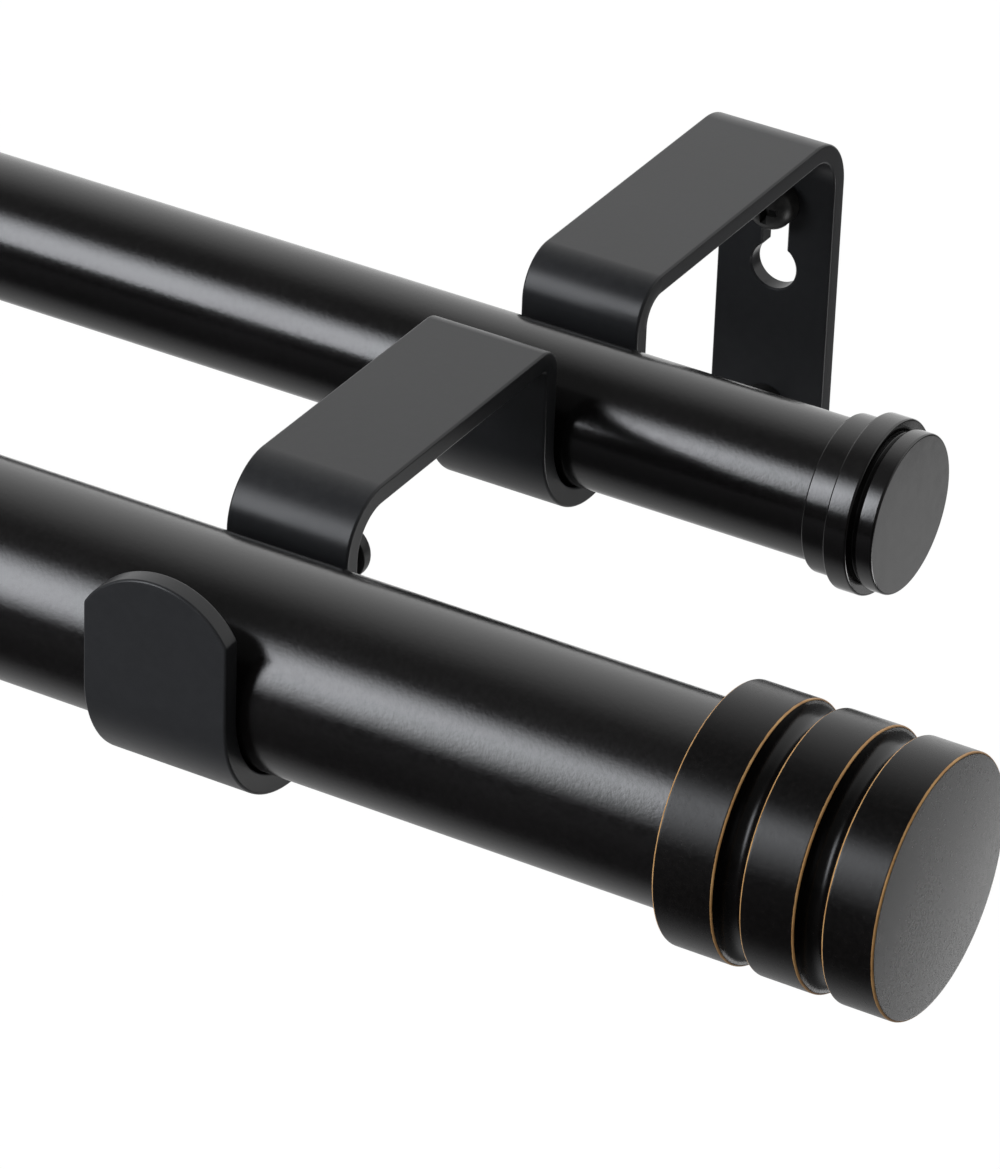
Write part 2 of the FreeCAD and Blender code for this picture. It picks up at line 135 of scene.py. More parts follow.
class CurtainPoleSizes(bpy.types.PropertyGroup):
    """Sizes of the pieces, from the same values as the solids."""

    tube_wall: length("Tube wall", 0.8, "Thickness of the rolled tubes")
    tube_edge: length("Tube edge", 0.15, "Rounding at a tube's cut ends")
    strap_thickness: length("Strap thickness", 2.6, "Thickness of the bracket strap")
    strap_width: length("Strap width", 16.6, "Width of the bracket's arms")
    cradle_width: length("Cradle width", 19.2, "Width of the front cradle and tongue")
    strap_edge: length("Strap edge", 0.35, "Rounding along the strap's edges")
    rear_arm_top: length("Rear arm top", 11.7, "Top of the arm from the wall")
    front_arm_top: length("Front arm top", 14.0, "Top of the arm between the poles")
    back_cradle_play: length("Back cradle play", 0.90, "Cradle radius over pole radius")
    front_cradle_play: length("Front cradle play", 0.30, "Cradle radius over pole radius")
    cradle_gap: length("Cradle gap", 0.2, "Paint and air under a pole in its cradle")
    wall_bend: length("Wall bend", 5.5, "Inside radius where the arm meets the plate")
    rear_arm_bend: length("Rear arm bend", 3.2, "Inside radius behind the back pole")
    riser_bend: length("Riser bend", 0.8, "Inside radius above the back pole")
    front_arm_bend: length("Front arm bend", 5.2, "Inside radius behind the front pole")
    plate_bottom: length("Plate bottom", -36.0, "Lowest level of the wall plate")
    plate_corner: length("Plate corner", 3.0, "Rounding of the plate's lower corners")
    tongue_side_top: length("Tongue side top", 10.2, "Level where the tongue's sides end")
    tongue_arch: length("Tongue arch", 5.5, "Rise of the tongue's round top")
    tongue_corner: length("Tongue corner", 0.9, "Rounding beside the tongue's arch")
    shoulder_length: length("Shoulder length", 4.0, "Drop in which the strap widens")
    keyhole_level: length("Keyhole level", -0.4, "Centre of the narrow end")
    keyhole_drop: length("Keyhole drop", 9.7, "Narrow end down to the round end")
    keyhole_round: length("Keyhole round", 6.5, "Diameter of the round end")
    keyhole_slot: length("Keyhole slot", 3.6, "Width of the slot")
    lower_hole_level: length("Lower hole level", -31.0, "Level of the lower hole")
    lower_hole: length("Lower hole", 4.2, "Diameter of the lower hole")
    lock_hole: length("Lock hole", 4.1, "Diameter of the locking screw's hole")
    hole_edge: length("Hole edge", 0.25, "Chamfer round each hole")
    band_edge: length("Band edge", 0.3, "Rounding of the finial's band edges")
    face_edge: length("Face edge", 0.3, "Rounding round the finial's face")
    inner_band: length("Inner band", 7.6, "Width of the finial's first band")
    middle_band: length("Middle band", 6.8, "Width of the finial's second band")
    outer_band: length("Outer band", 6.4, "Width of the finial's third band")
    groove_width: length("Groove width", 3.4, "Width of the finial's grooves")
    groove_depth: length("Groove depth", 2.3, "Depth of the finial's grooves")
    finial_socket: length("Finial socket", 13.5, "Depth of the finial's socket")
    finial_core: length("Finial core", 18.0, "Diameter of the finial's hollow")
    finial_wall: length("Finial wall", 3.5, "Thickness behind the finial's face")
    cap_sleeve: length("Cap sleeve", 20.0, "Diameter of the back cap's sleeve")
    cap_sleeve_length: length("Cap sleeve length", 3.5, "Length of the cap's sleeve")
    cap_ring_width: length("Cap ring width", 3.1, "Width of the cap's ring")
    cap_groove: length("Cap groove", 18.9, "Diameter in the cap's groove")
    cap_groove_width: length("Cap groove width", 0.7, "Width of the cap's groove")
    cap_disc: length("Cap disc", 20.2, "Diameter of the cap's front disc")
    cap_socket: length("Cap socket", 6.7, "Depth of the cap's socket")
    cap_core: length("Cap core", 12.0, "Diameter of the cap's hollow")
    cap_wall: length("Cap wall", 1.8, "Thickness behind the cap's face")
    cap_edge: length("Cap edge", 0.3, "Rounding of the cap's edges")
    socket_play: length("Socket play", 0.1, "Play round a tube in its socket")
    wall_screw: length("Wall screw", 3.2, "Diameter over the wall screw's thread")
    wall_pitch: length("Wall screw pitch", 1.4, "Rise of the wall screw's thread")
    wall_head: length("Wall screw head", 6.6, "Diameter of the wall screw's head")
    wall_head_height: length("Wall head height", 3.8, "Height of the wall screw's head")
    wall_tip: length("Wall screw tip", 4.0, "Length of the wall screw's point")
    lock_screw: length("Locking screw", 4.0, "Diameter over the locking screw's thread")
    lock_pitch: length("Locking screw pitch", 0.7, "Rise of the locking screw's thread")
    lock_head: length("Locking screw head", 7.3, "Diameter of the locking screw's head")
    lock_head_height: length("Lock head height", 2.8, "Height of the locking screw's head")
    recess_length: length("Recess length", 4.0, "Length of the cross recess")
    recess_width: length("Recess width", 1.0, "Width of the cross recess")
    recess_depth: length("Recess depth", 1.3, "Depth of the cross recess")
    turn_steps: IntProperty(
        name="Turning steps", description="Facets round a turned piece", default=160, min=24
    )


class CurtainPoleFinish(bpy.types.PropertyGroup):
    """Colours of the finishes."""

    pole_dark: tint("Pole dark", (0.0030, 0.0026, 0.0026), "Tube paint in its darker places")
    pole_light: tint("Pole light", (0.0058, 0.0052, 0.0053), "Tube paint in its lighter places")
    bracket_dark: tint("Bracket dark", (0.0225, 0.0232, 0.0250), "Bracket paint, darker")
    bracket_light: tint("Bracket light", (0.0258, 0.0265, 0.0285), "Bracket paint, lighter")
    finial_dark: tint("Finial dark", (0.0022, 0.0019, 0.0019), "Finial paint, darker")
    finial_light: tint("Finial light", (0.0050, 0.0043, 0.0042), "Finial paint, lighter")
    copper_dark: tint("Copper dark", (0.42, 0.18, 0.055), "Rubbed edge, darker")
    copper_light: tint("Copper light", (0.95, 0.60, 0.26), "Rubbed edge, lighter")
    screw_dark: tint("Screw dark", (0.008, 0.008, 0.008), "Blackened screws, darker")
    screw_light: tint("Screw light", (0.022, 0.021, 0.020), "Blackened screws, lighter")
    plastic_dark: tint("Plastic dark", (0.012, 0.012, 0.012), "Inserts and rings, darker")
    plastic_light: tint("Plastic light", (0.020, 0.020, 0.020), "Inserts and rings, lighter")
    dust: tint("Dust", (0.30, 0.29, 0.28), "Fine dust on upper surfaces")
    floor: tint("Floor", (0.86, 0.86, 0.87), "Pale floor")


class CurtainPoleView(bpy.types.PropertyGroup):
    """Camera and lamps."""

    azimuth: angle_setting("Azimuth", 29.44, "Camera's turn round the piece")
    elevation: angle_setting("Elevation", 30.91, "Camera's angle above the horizon")
    roll: angle_setting("Roll", 2.14, "Camera's turn about its own line of sight")
    place: FloatVectorProperty(
        name="Place", description="Where the camera stands", subtype="XYZ", unit="LENGTH",
        default=(0.772330, -0.731300, 0.429680), precision=5,
    )
    lens: FloatProperty(
        name="Lens", description="Focal length on a 36 mm sensor", default=219.84, unit="CAMERA"
    )
    front_power: power_setting("Front softbox", 63.0, "Power of the front softbox")
    fill_power: power_setting("Level fill", 7.0, "Power of the light level with the poles")
    card_power: power_setting("End card", 0.045, "Power of the small cards by the right ends")


def sizes():
    """The sizes that are set in the sidebar."""
    return bpy.context.scene.curtain_pole_sizes


def finish():
    """The colours that are set in the sidebar."""
    return bpy.context.scene.curtain_pole_finish


# Mesh tools


def new_piece(name, bm, sharp=SHARP_DEGREES, weighted=True):
    """Turn a bmesh into a smooth-shaded object in the frame's own place."""
    bmesh.ops.recalc_face_normals(bm, faces=bm.faces)
    mesh = bpy.data.meshes.new(name)
    bm.to_mesh(mesh)
    bm.free()
    mesh.shade_smooth()
    mesh.set_sharp_from_angle(angle=math.radians(sharp))
    piece = bpy.data.objects.new(name, mesh)
    bpy.context.scene.collection.objects.link(piece)
    if weighted:
        even = piece.modifiers.new("Even normals", "WEIGHTED_NORMAL")
        even.keep_sharp = True
    return piece


def settle(piece, node, slot):
    """Give a piece its finish and its body, and hide the node that it stands for."""
    piece.data.materials.clear()
    piece.data.materials.append(FINISHES[slot]())
    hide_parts(node)
    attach(piece, BODY_OF[node])


def arc(x, y, radius, start, sweep, steps):
    """Points along an arc, with both of its ends."""
    angles = [start + sweep * k / steps for k in range(steps + 1)]
    return [(x + radius * math.cos(a), y + radius * math.sin(a)) for a in angles]


def rounded(points, steps=5):
    """Round the corners of a closed outline of (x, radius, rounding) points."""
    made = []
    count = len(points)
    for i, (x, r, fillet) in enumerate(points):
        here = Vector((x, r))
        if fillet <= 0:
            made.append((x, r))
            continue
        to_last = (Vector(points[i - 1][:2]) - here).normalized()
        to_next = (Vector(points[(i + 1) % count][:2]) - here).normalized()
        half = to_last.angle(to_next) / 2
        reach = fillet / math.tan(half)
        centre = here + (to_last + to_next).normalized() * (fillet / math.sin(half))
        start = here + to_last * reach - centre
        end = here + to_next * reach - centre
        first = math.atan2(start.y, start.x)
        sweep = math.remainder(math.atan2(end.y, end.x) - first, 2 * math.pi)
        made += arc(centre.x, centre.y, fillet, first, sweep, steps)
    return made


def turned(name, profile, y, z, steps=None):
    """Revolve a closed outline of (x, radius) points, some with a rub, about a pole's axis."""
    steps = steps or sizes().turn_steps
    bm = bmesh.new()
    rub_layer = bm.verts.layers.float.new("rub")
    rings = []
    for x, r, *rub in profile:
        ring = []
        for i in range(steps if r > TINY else 1):
            angle = 2 * math.pi * i / steps
            vert = bm.verts.new((x, y + r * math.sin(angle), z + r * math.cos(angle)))
            vert[rub_layer] = rub[0] if rub else 0.0
            ring.append(vert)
        rings.append(ring)
    for a, b in zip(rings, rings[1:] + rings[:1]):
        join_rings(bm, a, b)
    return new_piece(name, bm)


def draw_turned(node, profile, slot, steps=None):
    """Turn a node's outline about its own axis and settle it."""
    settle(turned(node + "_look", profile, *axis_of(node), steps), node, slot)


def join_rings(bm, a, b):
    """Faces between two rings; a ring of one point is a tip."""
    count = max(len(a), len(b))
    if len(a) == len(b) == 1:
        return
    for i in range(count):
        j = (i + 1) % count
        if len(a) == 1:
            bm.faces.new((a[0], b[j], b[i]))
        elif len(b) == 1:
            bm.faces.new((a[i], a[j], b[0]))
        else:
            bm.faces.new((a[i], a[j], b[j], b[i]))


def cut(piece, cutter):
    """Take a closed cutter out of a piece."""
    tool = piece.modifiers.new("Cut", "BOOLEAN")
    tool.operation = "DIFFERENCE"
    tool.solver = "EXACT"
    tool.object = cutter
    others = [m for m in piece.modifiers if m != tool]
    for m in others:
        m.show_viewport = False
    bpy.context.view_layer.update()
    graph = bpy.context.evaluated_depsgraph_get()
    mesh = bpy.data.meshes.new_from_object(piece.evaluated_get(graph))
    old = piece.data
    if len(mesh.polygons) < FEW_FACES:
        raise RuntimeError("the cut left nothing of " + piece.name)
    piece.modifiers.remove(tool)
    for m in others:
        m.show_viewport = True
    mesh.name = old.name
    piece.data = mesh
    bpy.data.meshes.remove(old)
    old_cutter = cutter.data
    bpy.data.objects.remove(cutter)
    bpy.data.meshes.remove(old_cutter)
    mesh.shade_smooth()
    mesh.set_sharp_from_angle(angle=math.radians(SHARP_DEGREES))


def loft(name, loops):
    """A closed solid through loops of equal count, capped at both ends."""
    bm = bmesh.new()
    rings = [[bm.verts.new(p) for p in loop] for loop in loops]
    for a, b in zip(rings, rings[1:]):
        join_rings(bm, a, b)
    bm.faces.new(rings[0])
    bm.faces.new(rings[-1])
    return new_piece(name, bm, weighted=False)


# Shared effects, as node groups


def group(name, inputs, outputs):
    """A shader node group with a vector input, and named numbers in and out."""
    tree = bpy.data.node_groups.new(name, "ShaderNodeTree")
    tree.interface.new_socket(name="Vector", in_out="INPUT", socket_type="NodeSocketVector")
    for socket, value in inputs.items():
        made = tree.interface.new_socket(
            name=socket, in_out="INPUT", socket_type="NodeSocketFloat"
        )
        made.default_value = value
    for socket in outputs:
        tree.interface.new_socket(name=socket, in_out="OUTPUT", socket_type="NodeSocketFloat")
    return tree, tree.nodes.new("NodeGroupInput"), tree.nodes.new("NodeGroupOutput")


def give(tree, socket, value):
    """Give an input a number, a colour or another node's output."""
    if isinstance(value, bpy.types.NodeSocket):
        tree.links.new(value, socket)
    elif isinstance(value, (int, float)):
        socket.default_value = value
    else:
        socket.default_value = (*value, 1.0)


def feed(tree, node, **inputs):
    """Give a node's inputs their values by name; an underscore stands for a space."""
    for name, value in inputs.items():
        give(tree, node.inputs[name.replace("_", " ")], value)


def add(tree, kind, **inputs):
    """A new shader node with its inputs fed."""
    node = tree.nodes.new("ShaderNode" + kind)
    feed(tree, node, **inputs)
    return node


def noise(tree, vector, scale, detail, roughness):
    """A noise texture; scale is a number or a socket."""
    node = add(tree, "TexNoise", Vector=vector, Scale=scale, Detail=detail, Roughness=roughness)
    return node.outputs["Fac"]


def math_node(tree, operation, a, b, clamp=False):
    """One calculation with two numbers or sockets."""
    node = add(tree, "Math")
    node.operation = operation
    node.use_clamp = clamp
    for socket, value in zip(node.inputs, (a, b)):
        give(tree, socket, value)
    return node.outputs[0]


def times(tree, a, b):
    """Product of two numbers or sockets."""
    return math_node(tree, "MULTIPLY", a, b)


def plus(tree, a, b):
    """Sum of two numbers or sockets."""
    return math_node(tree, "ADD", a, b)


def minus(tree, a, b):
    """Difference of two numbers or sockets."""
    return math_node(tree, "SUBTRACT", a, b)


def larger(tree, a, b):
    """Larger of two numbers or sockets."""
    return math_node(tree, "MAXIMUM", a, b)


def ramp(tree, value, low, high, to_low=0.0, to_high=1.0):
    """Map a value from low..high to to_low..to_high with soft ends."""
    node = add(tree, "MapRange", Value=value, From_Min=low, From_Max=high)
    feed(tree, node, To_Min=to_low, To_Max=to_high)
    node.interpolation_type = "SMOOTHSTEP"
    return node.outputs["Result"]


def blend_colours(tree, share, a, b):
    """Colour a changed to colour b by a share; each is a value or a socket."""
    node = add(tree, "Mix")
    node.data_type = "RGBA"
    for index, value in ((0, share), (6, a), (7, b)):
        give(tree, node.inputs[index], value)
    return node.outputs[2]


def paint_grain():
    """Fine grain and soft mottling of a sprayed or powder-coated surface."""
    tree = bpy.data.node_groups.get("Paint Grain")
    if tree:
        return tree
    tree, given, out = group(
        "Paint Grain",
        {"Grain Scale": 2200.0, "Mottle Scale": 420.0, "Mottle Share": 0.5},
        ("Height", "Tone"),
    )
    place = given.outputs["Vector"]
    fine = noise(tree, place, given.outputs["Grain Scale"], 2.0, 0.6)
    mottle = noise(tree, place, given.outputs["Mottle Scale"], 4.0, 0.6)
    share = given.outputs["Mottle Share"]
    rest = minus(tree, 1.0, share)
    height = plus(tree, times(tree, fine, rest), times(tree, mottle, share))
    broad = noise(tree, place, 35.0, 3.0, 0.6)
    tone = plus(tree, times(tree, mottle, 0.6), times(tree, broad, 0.4))
    feed(tree, out, Height=height, Tone=ramp(tree, tone, 0.3, 0.7))
    return tree


def rubbed_edge():
    """Where an edge is rubbed through, from its marked places, broken up unevenly."""
    tree = bpy.data.node_groups.get("Rubbed Edge")
    if tree:
        return tree
    tree, given, out = group(
        "Rubbed Edge",
        {"Edge": 0.0, "Scale": 700.0, "Breakup": 0.6, "Level": 0.6, "Softness": 0.12},
        ("Mask",),
    )
    place = given.outputs["Vector"]
    uneven = noise(tree, place, given.outputs["Scale"], 4.0, 0.65)
    slow = noise(tree, place, 90.0, 2.0, 0.5)
    mixed = plus(tree, times(tree, uneven, 0.5), times(tree, slow, 0.5))
    moved = times(tree, minus(tree, mixed, 0.5), given.outputs["Breakup"])
    edge = plus(tree, given.outputs["Edge"], moved)
    low = minus(tree, given.outputs["Level"], given.outputs["Softness"])
    high = plus(tree, given.outputs["Level"], given.outputs["Softness"])
    feed(tree, out, Mask=ramp(tree, edge, low, high))
    return tree


def settled_dust():
    """A thin veil of dust on what faces up."""
    tree = bpy.data.node_groups.get("Settled Dust")
    if tree:
        return tree
    tree, given, out = group("Settled Dust", {"Scale": 900.0, "Amount": 0.05}, ("Mask",))
    parts = add(tree, "SeparateXYZ", Vector=add(tree, "NewGeometry").outputs["Normal"])
    up = ramp(tree, parts.outputs["Z"], 0.1, 0.95)
    grains = noise(tree, given.outputs["Vector"], given.outputs["Scale"], 5.0, 0.7)
    veil = times(tree, up, ramp(tree, grains, 0.35, 0.75))
    feed(tree, out, Mask=math_node(tree, "MULTIPLY", veil, given.outputs["Amount"], clamp=True))
    return tree


# Finishes


def start_material(name):
    """A material with one Principled shader, and the object's own coordinates."""
    material = bpy.data.materials.new(name)
    material.use_nodes = True
    tree = material.node_tree
    tree.nodes.clear()
    shader = add(tree, "BsdfPrincipled")
    add(tree, "OutputMaterial", Surface=shader.outputs[0])
    return material, tree, shader, add(tree, "TexCoord").outputs["Object"]


def use_group(tree, group_tree, vector, **values):
    """Place a node group with its own values."""
    node = add(tree, "Group")
    node.node_tree = group_tree
    feed(tree, node, Vector=vector, **values)
    return node


def add_bump(tree, shader, height, distance):
    """Let a height stand out from the surface by a distance in metres."""
    bump = add(tree, "Bump", Strength=1.0, Distance=distance, Height=height)
    feed(tree, shader, Normal=bump.outputs["Normal"])


def tones_of(name):
    """The darker and the lighter colour of a finish."""
    return [tuple(getattr(finish(), name + end)) for end in ("_dark", "_light")]


def paint_skin(tree, place, tones, grain):
    """A paint's grain and its two tones blended over it.

    The grain is its own scale, the scale of the mottling and the mottling's share.
    """
    fine, mottle, share = grain
    skin = use_group(
        tree, paint_grain(), place, Grain_Scale=fine, Mottle_Scale=mottle, Mottle_Share=share
    )
    return skin.outputs, blend_colours(tree, skin.outputs["Tone"], *tones_of(tones))


def painted(name, tones, roughness, specular, grain, bump, dust=0.0):
    """A painted finish: two close tones, grain in the surface and a veil of dust."""
    known = bpy.data.materials.get(name)
    if known:
        return known
    material, tree, shader, place = start_material(name)
    skin, colour = paint_skin(tree, place, tones, grain)
    if dust:
        veil = use_group(tree, settled_dust(), place, Amount=dust)
        colour = blend_colours(tree, veil.outputs["Mask"], colour, tuple(finish().dust))
    gloss = ramp(tree, skin["Tone"], 0.0, 1.0, *roughness)
    feed(tree, shader, Base_Color=colour, Roughness=gloss, Specular_IOR_Level=specular)
    add_bump(tree, shader, skin["Height"], bump)
    return material


def pole_paint():
    """Satin black paint on the rolled tubes."""
    return painted(
        "Pole satin black", "pole", roughness=(0.17, 0.22), specular=0.7,
        grain=(2400.0, 1400.0, 0.5), bump=0.000016, dust=0.004,
    )


def bracket_paint():
    """Matte black powder coat on the brackets."""
    return painted(
        "Bracket matte black", "bracket", roughness=(0.29, 0.33), specular=0.34,
        grain=(3000.0, 900.0, 0.4), bump=0.000007, dust=0.01,
    )


def cap_paint():
    """Smoother satin black on the turned caps."""
    return painted(
        "Cap satin black", "pole", roughness=(0.14, 0.18), specular=0.75,
        grain=(2400.0, 600.0, 0.5), bump=0.000008, dust=0.01,
    )


def screw_black():
    """Blackened steel screws."""
    return painted(
        "Screw blackened steel", "screw", roughness=(0.34, 0.48), specular=0.5,
        grain=(4200.0, 1400.0, 0.5), bump=0.000010,
    )


def plastic_black():
    """Moulded rings and inserts."""
    return painted(
        "Moulded black plastic", "plastic", roughness=(0.40, 0.50), specular=0.5,
        grain=(3000.0, 500.0, 0.3), bump=0.000006,
    )


def finial_bronze():
    """Black paint over copper, rubbed through along the turned edges."""
    known = bpy.data.materials.get("Finial rubbed bronze")
    if known:
        return known
    material, tree, shader, place = start_material("Finial rubbed bronze")
    skin, paint = paint_skin(tree, place, "finial", (2800.0, 1500.0, 0.4))
    mark = add(tree, "Attribute")
    mark.attribute_name = "rub"
    worn = use_group(
        tree, rubbed_edge(), place, Edge=mark.outputs["Fac"], Scale=1100.0, Breakup=0.9,
        Level=0.66, Softness=0.16,
    )
    copper = blend_colours(tree, noise(tree, place, 260.0, 3.0, 0.6), *tones_of("copper"))
    mask = worn.outputs["Mask"]
    painted_roughness = ramp(tree, skin["Tone"], 0.0, 1.0, 0.22, 0.28)
    feed(
        tree, shader, Base_Color=blend_colours(tree, mask, paint, copper),
        Metallic=times(tree, mask, 0.35), Specular_IOR_Level=0.32,
        Roughness=plus(tree, painted_roughness, times(tree, mask, 0.1)),
    )
    height = minus(tree, skin["Height"], times(tree, mask, 0.6))
    add_bump(tree, shader, height, 0.000006)
    return material


FINISHES = {
    "pole_paint": pole_paint,
    "finial_bronze": finial_bronze,
    "cap_paint": cap_paint,
    "bracket_paint": bracket_paint,
    "screw_black": screw_black,
    "plastic_black": plastic_black,
}


# Tubes and rings


def draw_tube(node):
    """A tube of the node's own length and diameter."""
    low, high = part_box(node)
    edge = sizes().tube_edge
    outer = radius_of(node)
    inner = outer - sizes().tube_wall
    corners = ((low.x, inner), (low.x, outer), (high.x, outer), (high.x, inner))
    profile = rounded([(x, r, edge) for x, r in corners], 4)
    draw_turned(node, profile, "pole_paint")


def draw_mouth_ring(name):
    """Plug inside the wide tube's mouth, with a lip that covers the tube's edge."""
    node = name + "_mouth_ring"
    low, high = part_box(node)
    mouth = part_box(name + "_wide_tube")[0].x
    lip = radius_of(node)
    plug = lip - sizes().tube_wall
    bore = radius_of(name + "_narrow_tube") + RING_PLAY
    profile = rounded([
        (low.x, bore, SOFT_EDGE),
        (low.x, lip, LIP_EDGE),
        (mouth, lip, FINE_EDGE),
        (mouth, plug, 0),
        (high.x, plug, PLUG_EDGE),
        (high.x, bore, SOFT_EDGE),
    ])
    draw_turned(node, profile, "plastic_black")


def draw_end_ring(name):
    """Ring round the narrow tube's inner end, with a lip over the tube's edge."""
    node = name + "_end_ring"
    low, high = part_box(node)
    outer = radius_of(node)
    narrow = radius_of(name + "_narrow_tube")
    bore = narrow - sizes().tube_wall
    tube_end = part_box(name + "_narrow_tube")[1].x
    profile = rounded([
        (low.x, narrow, FINE_EDGE),
        (low.x, outer, SOFT_EDGE),
        (high.x, outer, SOFT_EDGE),
        (high.x, bore, FINE_EDGE),
        (tube_end, bore, 0),
        (tube_end, narrow, 0),
    ])
    draw_turned(node, profile, "plastic_black")


class CURTAINPOLE_OT_tubes(bpy.types.Operator):
    """Draw the tubes of both poles and the plastic rings between them"""

    bl_idname = "curtain_pole.tubes"
    bl_label = "Tubes and Rings"

    def execute(self, context):
        for name in ("front", "back"):
            draw_tube(name + "_wide_tube")
            draw_tube(name + "_narrow_tube")
            draw_mouth_ring(name)
            draw_end_ring(name)
        return {"FINISHED"}


# Finials and caps


FINIAL_STEPS = 224          # facets round a finial and round a cap
CAP_STEPS = 192
FACE_RINGS = (0.75, 0.4)    # rings on a finial's face, as shares of its radius
RUB_LEAST = 0.35            # mark at both ends of a rubbed rim; its middle has 1


def edge_run(x, radius, fillet, side):
    """A rubbed, rounded rim at a band's end; side is +1 where the band ends."""
    margin = 0.12 * MM
    rim = [(x - side * margin - side * fillet, radius)]
    steps = 6
    for k in range(steps + 1):
        angle = math.pi / 2 * k / steps
        rub = RUB_LEAST + (1 - RUB_LEAST) * math.sin(2 * angle)
        back = side * fillet * (1 - math.sin(angle))
        rim.append((x - back, radius - fillet * (1 - math.cos(angle)), rub))
    rim.append((x, radius - fillet - margin))
    return rim if side > 0 else rim[::-1]


def groove_run(start, rim, width, depth, steps=28):
    """The round bottom of a groove between its two rims."""
    points = []
    for i in range(1, steps):
        angle = math.pi * i / steps
        points.append((start + width / 2 * (1 - math.cos(angle)), rim - depth * math.sin(angle)))
    return points


def finial_profile(radius, tube_radius):
    """Outline of the right-hand finial, from x = 0 at its inner end."""
    s = sizes()
    bands = [s.inner_band, s.middle_band, s.outer_band]
    edge = s.band_edge
    points = []
    x = 0.0
    for i, band in enumerate(bands):
        last = i == len(bands) - 1
        points += edge_run(x, radius, edge, -1)[min(i, 1) :]
        far = s.face_edge if last else edge
        run = edge_run(x + band, radius, far, 1)
        points += run if last else run[:-1]
        if not last:
            points += groove_run(x + band, radius - edge, s.groove_width, s.groove_depth - edge)
        x += band + s.groove_width
    face = x - s.groove_width
    core = s.finial_core / 2
    socket = tube_radius + s.socket_play
    points += [(face, radius * share) for share in FACE_RINGS]
    points += [
        (face, 0.0),
        (face - s.finial_wall, 0.0),
        (face - s.finial_wall, core),
        (s.finial_socket, core),
        (s.finial_socket, socket),
        (0.0, socket),
    ]
    return points


def cap_profile(ring_radius, tube_radius, length_all):
    """Outline of the right-hand back cap, from x = 0 at its inner end."""
    s = sizes()
    edge = s.cap_edge
    ring = s.cap_sleeve_length
    groove = ring + s.cap_ring_width
    disc = groove + s.cap_groove_width
    sleeve, low, front = s.cap_sleeve / 2, s.cap_groove / 2, s.cap_disc / 2
    socket = tube_radius + s.socket_play
    core, bottom = s.cap_core / 2, length_all - s.cap_wall
    return rounded([
        (0.0, socket, FINE_EDGE),
        (0.0, sleeve, edge),
        (ring, sleeve, RIM_EDGE),
        (ring, ring_radius, edge),
        (groove, ring_radius, edge),
        (groove, low, FINE_EDGE),
        (disc, low, FINE_EDGE),
        (disc, front, edge),
        (length_all, front, edge),
        (length_all, front * 0.5, 0),
        (length_all, 0.0, 0),
        (bottom, 0.0, 0),
        (bottom, core, 0),
        (s.cap_socket, core, 0),
        (s.cap_socket, socket, 0),
    ])


def placed(profile, node, side):
    """Move a right-hand outline to its end of the pole, mirrored on the left."""
    low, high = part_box(node)
    start = low.x if side > 0 else high.x
    return [(start + side * x, *rest) for x, *rest in profile]


class CURTAINPOLE_OT_finials(bpy.types.Operator):
    """Draw the banded finials on the front pole's ends"""

    bl_idname = "curtain_pole.finials"
    bl_label = "Front Finials"

    def execute(self, context):
        for name, side in SIDES.items():
            node = "front_finial_" + name
            profile = finial_profile(radius_of(node), radius_of("front_wide_tube"))
            draw_turned(node, placed(profile, node, side), "finial_bronze", FINIAL_STEPS)
        return {"FINISHED"}


class CURTAINPOLE_OT_caps(bpy.types.Operator):
    """Draw the stepped caps on the back pole's ends"""

    bl_idname = "curtain_pole.caps"
    bl_label = "Back Caps"

    def execute(self, context):
        tube_radius = radius_of("back_wide_tube")
        for name, side in SIDES.items():
            node = "back_cap_" + name
            profile = cap_profile(radius_of(node), tube_radius, width_of(node, X))
            draw_turned(node, placed(profile, node, side), "cap_paint", CAP_STEPS)
        return {"FINISHED"}


# Brackets


BEND_STEPS = 34             # stations along each bend of the strap
CORNER_STEPS = 10           # stations along a rounded corner of the plate
SHOULDER_STEPS = 16         # stations along the shoulder; a few more follow it
STATION_GAP = 0.01 * MM     # nearer stations are left out


def bent_route(corners, radii):
    """Straight runs and bends of the strap's middle line, with their lengths."""
    route = []
    last = Vector(corners[0])
    for i in range(1, len(corners) - 1):
        corner = Vector(corners[i])
        before = (corner - Vector(corners[i - 1])).normalized()
        after = (Vector(corners[i + 1]) - corner).normalized()
        radius = radii[i - 1]
        begin = corner - before * radius
        run = (begin - last).length
        if run > TINY:
            route.append(("run", last, before, run))
        turn = 1 if before.x * after.y - before.y * after.x > 0 else -1
        route.append(("bend", begin + after * radius, begin, before, turn, radius))
        last = corner + after * radius
    end = Vector(corners[-1])
    route.append(("run", last, (end - last).normalized(), (end - last).length))
    return route


def part_length(part):
    """Length of a run, or of a quarter bend."""
    return part[3] if part[0] == "run" else part[5] * math.pi / 2


def along(route, distance):
    """Point and direction of the strap's middle line at a distance from its start."""
    for part in route:
        size = part_length(part)
        if distance <= size or part is route[-1]:
            break
        distance -= size
    if part[0] == "run":
        return part[1] + part[2] * distance, part[2]
    centre, begin, before, turn, radius = part[1:]
    spin = Matrix.Rotation(turn * distance / radius, 2)
    return centre + spin @ (begin - centre), spin @ before


